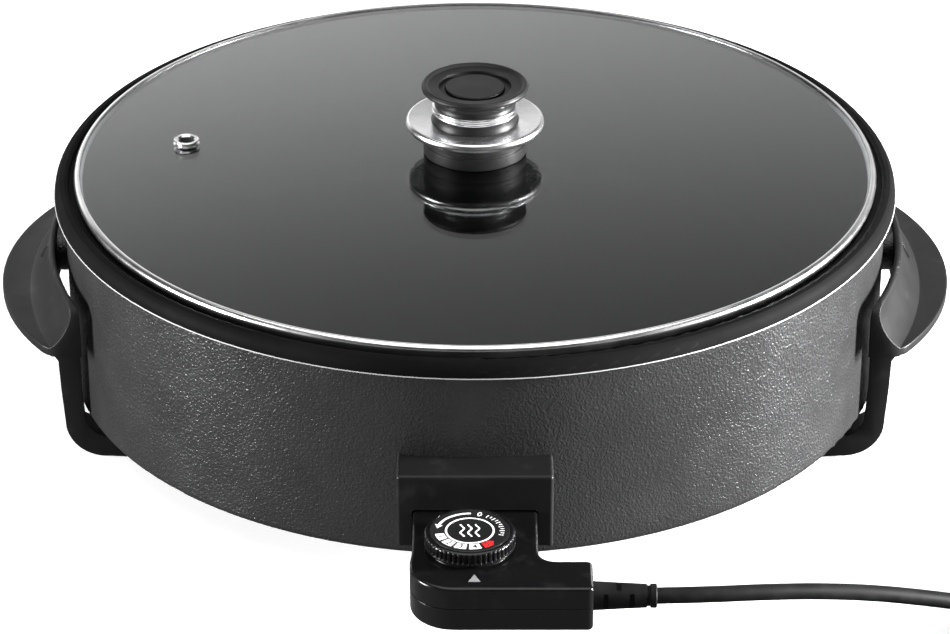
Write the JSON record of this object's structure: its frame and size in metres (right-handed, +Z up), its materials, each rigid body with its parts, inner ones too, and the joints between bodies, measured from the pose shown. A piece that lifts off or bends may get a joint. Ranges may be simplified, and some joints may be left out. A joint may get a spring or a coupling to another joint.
{
  "type": "electric party pan",
  "caption": "Round electric party pan with a glass lid, two handles with built-in feet and a plug-in thermostat controller with mains lead.",
  "frame": {"origin": "middle of the footprint's box (pan, handles and controller, without the lead) on the table that the feet stand on", "axes": "+Z up, -Y towards the controller, +X to the right hand of someone facing the controller; the pan's own axis is 38.85 mm towards +Y"},
  "size_m": [0.575, 0.517, 0.1684],
  "materials": {
    "pan_coating": "cast, with a dark grey hammered non-stick coating",
    "element_steel": "oxidised sheath",
    "ceramic_seal": "unglazed",
    "plated_brass": "nickel plated",
    "screw_steel": "zinc plated",
    "phenolic_black": "satin",
    "rubber_black": "satin",
    "lid_glass": "tempered, clear",
    "polished_steel": "polished",
    "chrome_trim": "polished",
    "gloss_black": "gloss",
    "dial_print": "printed",
    "lens_clear": "ribbed translucent"
  },
  "bodies": {
    "pan": {"pan_body": "pan_coating", "heating_element": "element_steel", "element_seals": "ceramic_seal", "pin_links": "plated_brass", "element_clamps": "element_steel", "clamp_screws": "screw_steel", "terminal_block": "phenolic_black", "appliance_pins": "plated_brass", "earth_blade": "plated_brass", "terminal_screws": "screw_steel", "socket_guard": "phenolic_black", "handle_right": "phenolic_black", "handle_left": "phenolic_black", "foot_pads": "rubber_black", "foot_screws": "screw_steel", "handle_screws": "screw_steel"},
    "lid": {"lid_glass": "lid_glass", "lid_rim": "polished_steel", "knob_base": "phenolic_black", "knob_disc": "chrome_trim", "knob_neck": "phenolic_black", "knob_collar": "chrome_trim", "knob_top": "phenolic_black", "knob_cap": "phenolic_black", "knob_screw": "screw_steel", "knob_washer": "screw_steel", "knob_gasket": "rubber_black", "vent_eyelet": "polished_steel"},
    "controller": {"housing_top": "gloss_black", "housing_bottom": "gloss_black", "housing_screws": "screw_steel", "pointer_lens": "lens_clear", "neon_lamp": "lens_clear", "sensor_probe": "polished_steel", "contact_sleeves": "plated_brass", "thermostat_switch": "phenolic_black", "bimetal_strip": "screw_steel", "bus_strips": "plated_brass", "spindle_bush": "plated_brass", "cord_clamp": "gloss_black", "strain_relief": "rubber_black", "cord": "rubber_black", "cord_coil": "rubber_black", "cord_tail": "rubber_black", "cord_tie": "rubber_black", "plug_body": "rubber_black", "plug_pins": "plated_brass", "plug_earth_strips": "plated_brass"},
    "dial": {"dial_knob": "gloss_black", "dial_face": "dial_print", "dial_spindle": "gloss_black"}
  },
  "joints": [
    {"name": "lid_lift", "type": "slide", "parent": "pan", "child": "lid", "axis": [0, 0, 1], "range_m": [0, 0.2]},
    {"name": "controller_pull", "type": "slide", "parent": "pan", "child": "controller", "axis": [0, -1, 0], "range_m": [0, 0.06]},
    {"name": "dial_turn", "type": "hinge", "parent": "controller", "child": "dial", "pos_m": [-0.0023, -0.21275, 0.056], "axis": [0, 0, 1], "range_deg": [-42, 197]}
  ]
}
